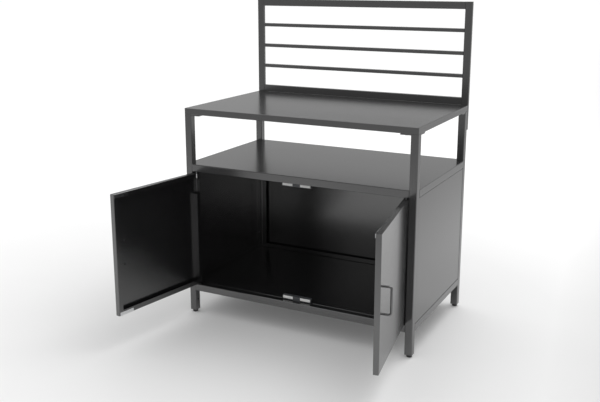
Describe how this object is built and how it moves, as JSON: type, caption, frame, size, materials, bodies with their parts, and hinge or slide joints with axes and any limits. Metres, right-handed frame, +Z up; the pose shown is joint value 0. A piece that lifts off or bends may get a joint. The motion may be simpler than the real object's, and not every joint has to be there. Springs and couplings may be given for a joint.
{
  "type": "potting bench",
  "caption": "Steel potting bench with a sheet worktop, an open bay with a shelf, a two-door cabinet below and a low slatted trellis at the back.",
  "frame": {"origin": "on the floor, at the centre of the four legs", "axes": "+Z up, -Y towards the front and the doors, +X to the right as seen from the front"},
  "size_m": [1.1204, 1.0542, 1.3],
  "materials": {
    "powder_coat": "satin",
    "zinc_plate": "bright zinc plate",
    "black_steel": "satin black",
    "catch_plastic": "matte",
    "black_plastic": "matte"
  },
  "bodies": {
    "bench": {"front_left_leg": "powder_coat", "front_right_leg": "powder_coat", "rear_left_leg": "powder_coat", "rear_right_leg": "powder_coat", "leg_end_plugs": "black_plastic", "shelf_front_rail": "powder_coat", "shelf_back_rail": "powder_coat", "shelf_left_rail": "powder_coat", "shelf_right_rail": "powder_coat", "lower_front_rail": "powder_coat", "lower_back_rail": "powder_coat", "lower_left_rail": "powder_coat", "lower_right_rail": "powder_coat", "worktop": "powder_coat", "worktop_stiffener": "powder_coat", "corner_brackets": "powder_coat", "bracket_screws": "zinc_plate", "shelf_panel": "powder_coat", "shelf_stiffener": "powder_coat", "cabinet_floor": "powder_coat", "left_side_panel": "powder_coat", "right_side_panel": "powder_coat", "back_panel": "powder_coat", "panel_screws": "zinc_plate", "trellis_left_upright": "powder_coat", "trellis_right_upright": "powder_coat", "trellis_top_bar": "powder_coat", "trellis_bottom_bar": "powder_coat", "trellis_lower_bar": "powder_coat", "trellis_middle_bar": "powder_coat", "trellis_upper_bar": "powder_coat", "trellis_end_plugs": "black_plastic", "trellis_bolts": "zinc_plate", "upper_catch_housing": "catch_plastic", "lower_catch_housing": "catch_plastic", "upper_catch_magnets": "zinc_plate", "lower_catch_magnets": "zinc_plate", "catch_screws": "zinc_plate", "hinge_rail_bushes": "black_plastic", "hinge_bottom_pins": "zinc_plate", "hinge_thrust_washers": "black_plastic"},
    "left_door": {"left_door_panel": "powder_coat", "left_pin_plate": "powder_coat", "left_top_pin": "zinc_plate", "left_bottom_bush": "black_plastic", "left_handle": "powder_coat", "left_handle_screws": "black_steel", "left_strike_plates": "zinc_plate"},
    "right_door": {"right_door_panel": "powder_coat", "right_pin_plate": "powder_coat", "right_top_pin": "zinc_plate", "right_bottom_bush": "black_plastic", "right_handle": "powder_coat", "right_handle_screws": "black_steel", "right_strike_plates": "zinc_plate"},
    "front_left_foot": {"front_left_foot": "black_plastic"},
    "front_right_foot": {"front_right_foot": "black_plastic"},
    "rear_left_foot": {"rear_left_foot": "black_plastic"},
    "rear_right_foot": {"rear_right_foot": "black_plastic"}
  },
  "joints": [
    {"name": "left_door_hinge", "type": "hinge", "parent": "bench", "child": "left_door", "pos_m": [-0.4565, -0.29, 0.3745], "axis": [0, 0, 1], "range_deg": [-5.5, 99.5]},
    {"name": "right_door_hinge", "type": "hinge", "parent": "bench", "child": "right_door", "pos_m": [0.4565, -0.29, 0.3745], "axis": [0, 0, -1], "range_deg": [-5.5, 99.5]},
    {"name": "front_left_foot_screw", "type": "slide", "parent": "bench", "child": "front_left_foot", "axis": [0, 0, -1], "range_m": [-0.002, 0.012]},
    {"name": "front_right_foot_screw", "type": "slide", "parent": "bench", "child": "front_right_foot", "axis": [0, 0, -1], "range_m": [-0.002, 0.012]},
    {"name": "rear_left_foot_screw", "type": "slide", "parent": "bench", "child": "rear_left_foot", "axis": [0, 0, -1], "range_m": [-0.002, 0.012]},
    {"name": "rear_right_foot_screw", "type": "slide", "parent": "bench", "child": "rear_right_foot", "axis": [0, 0, -1], "range_m": [-0.002, 0.012]}
  ]
}
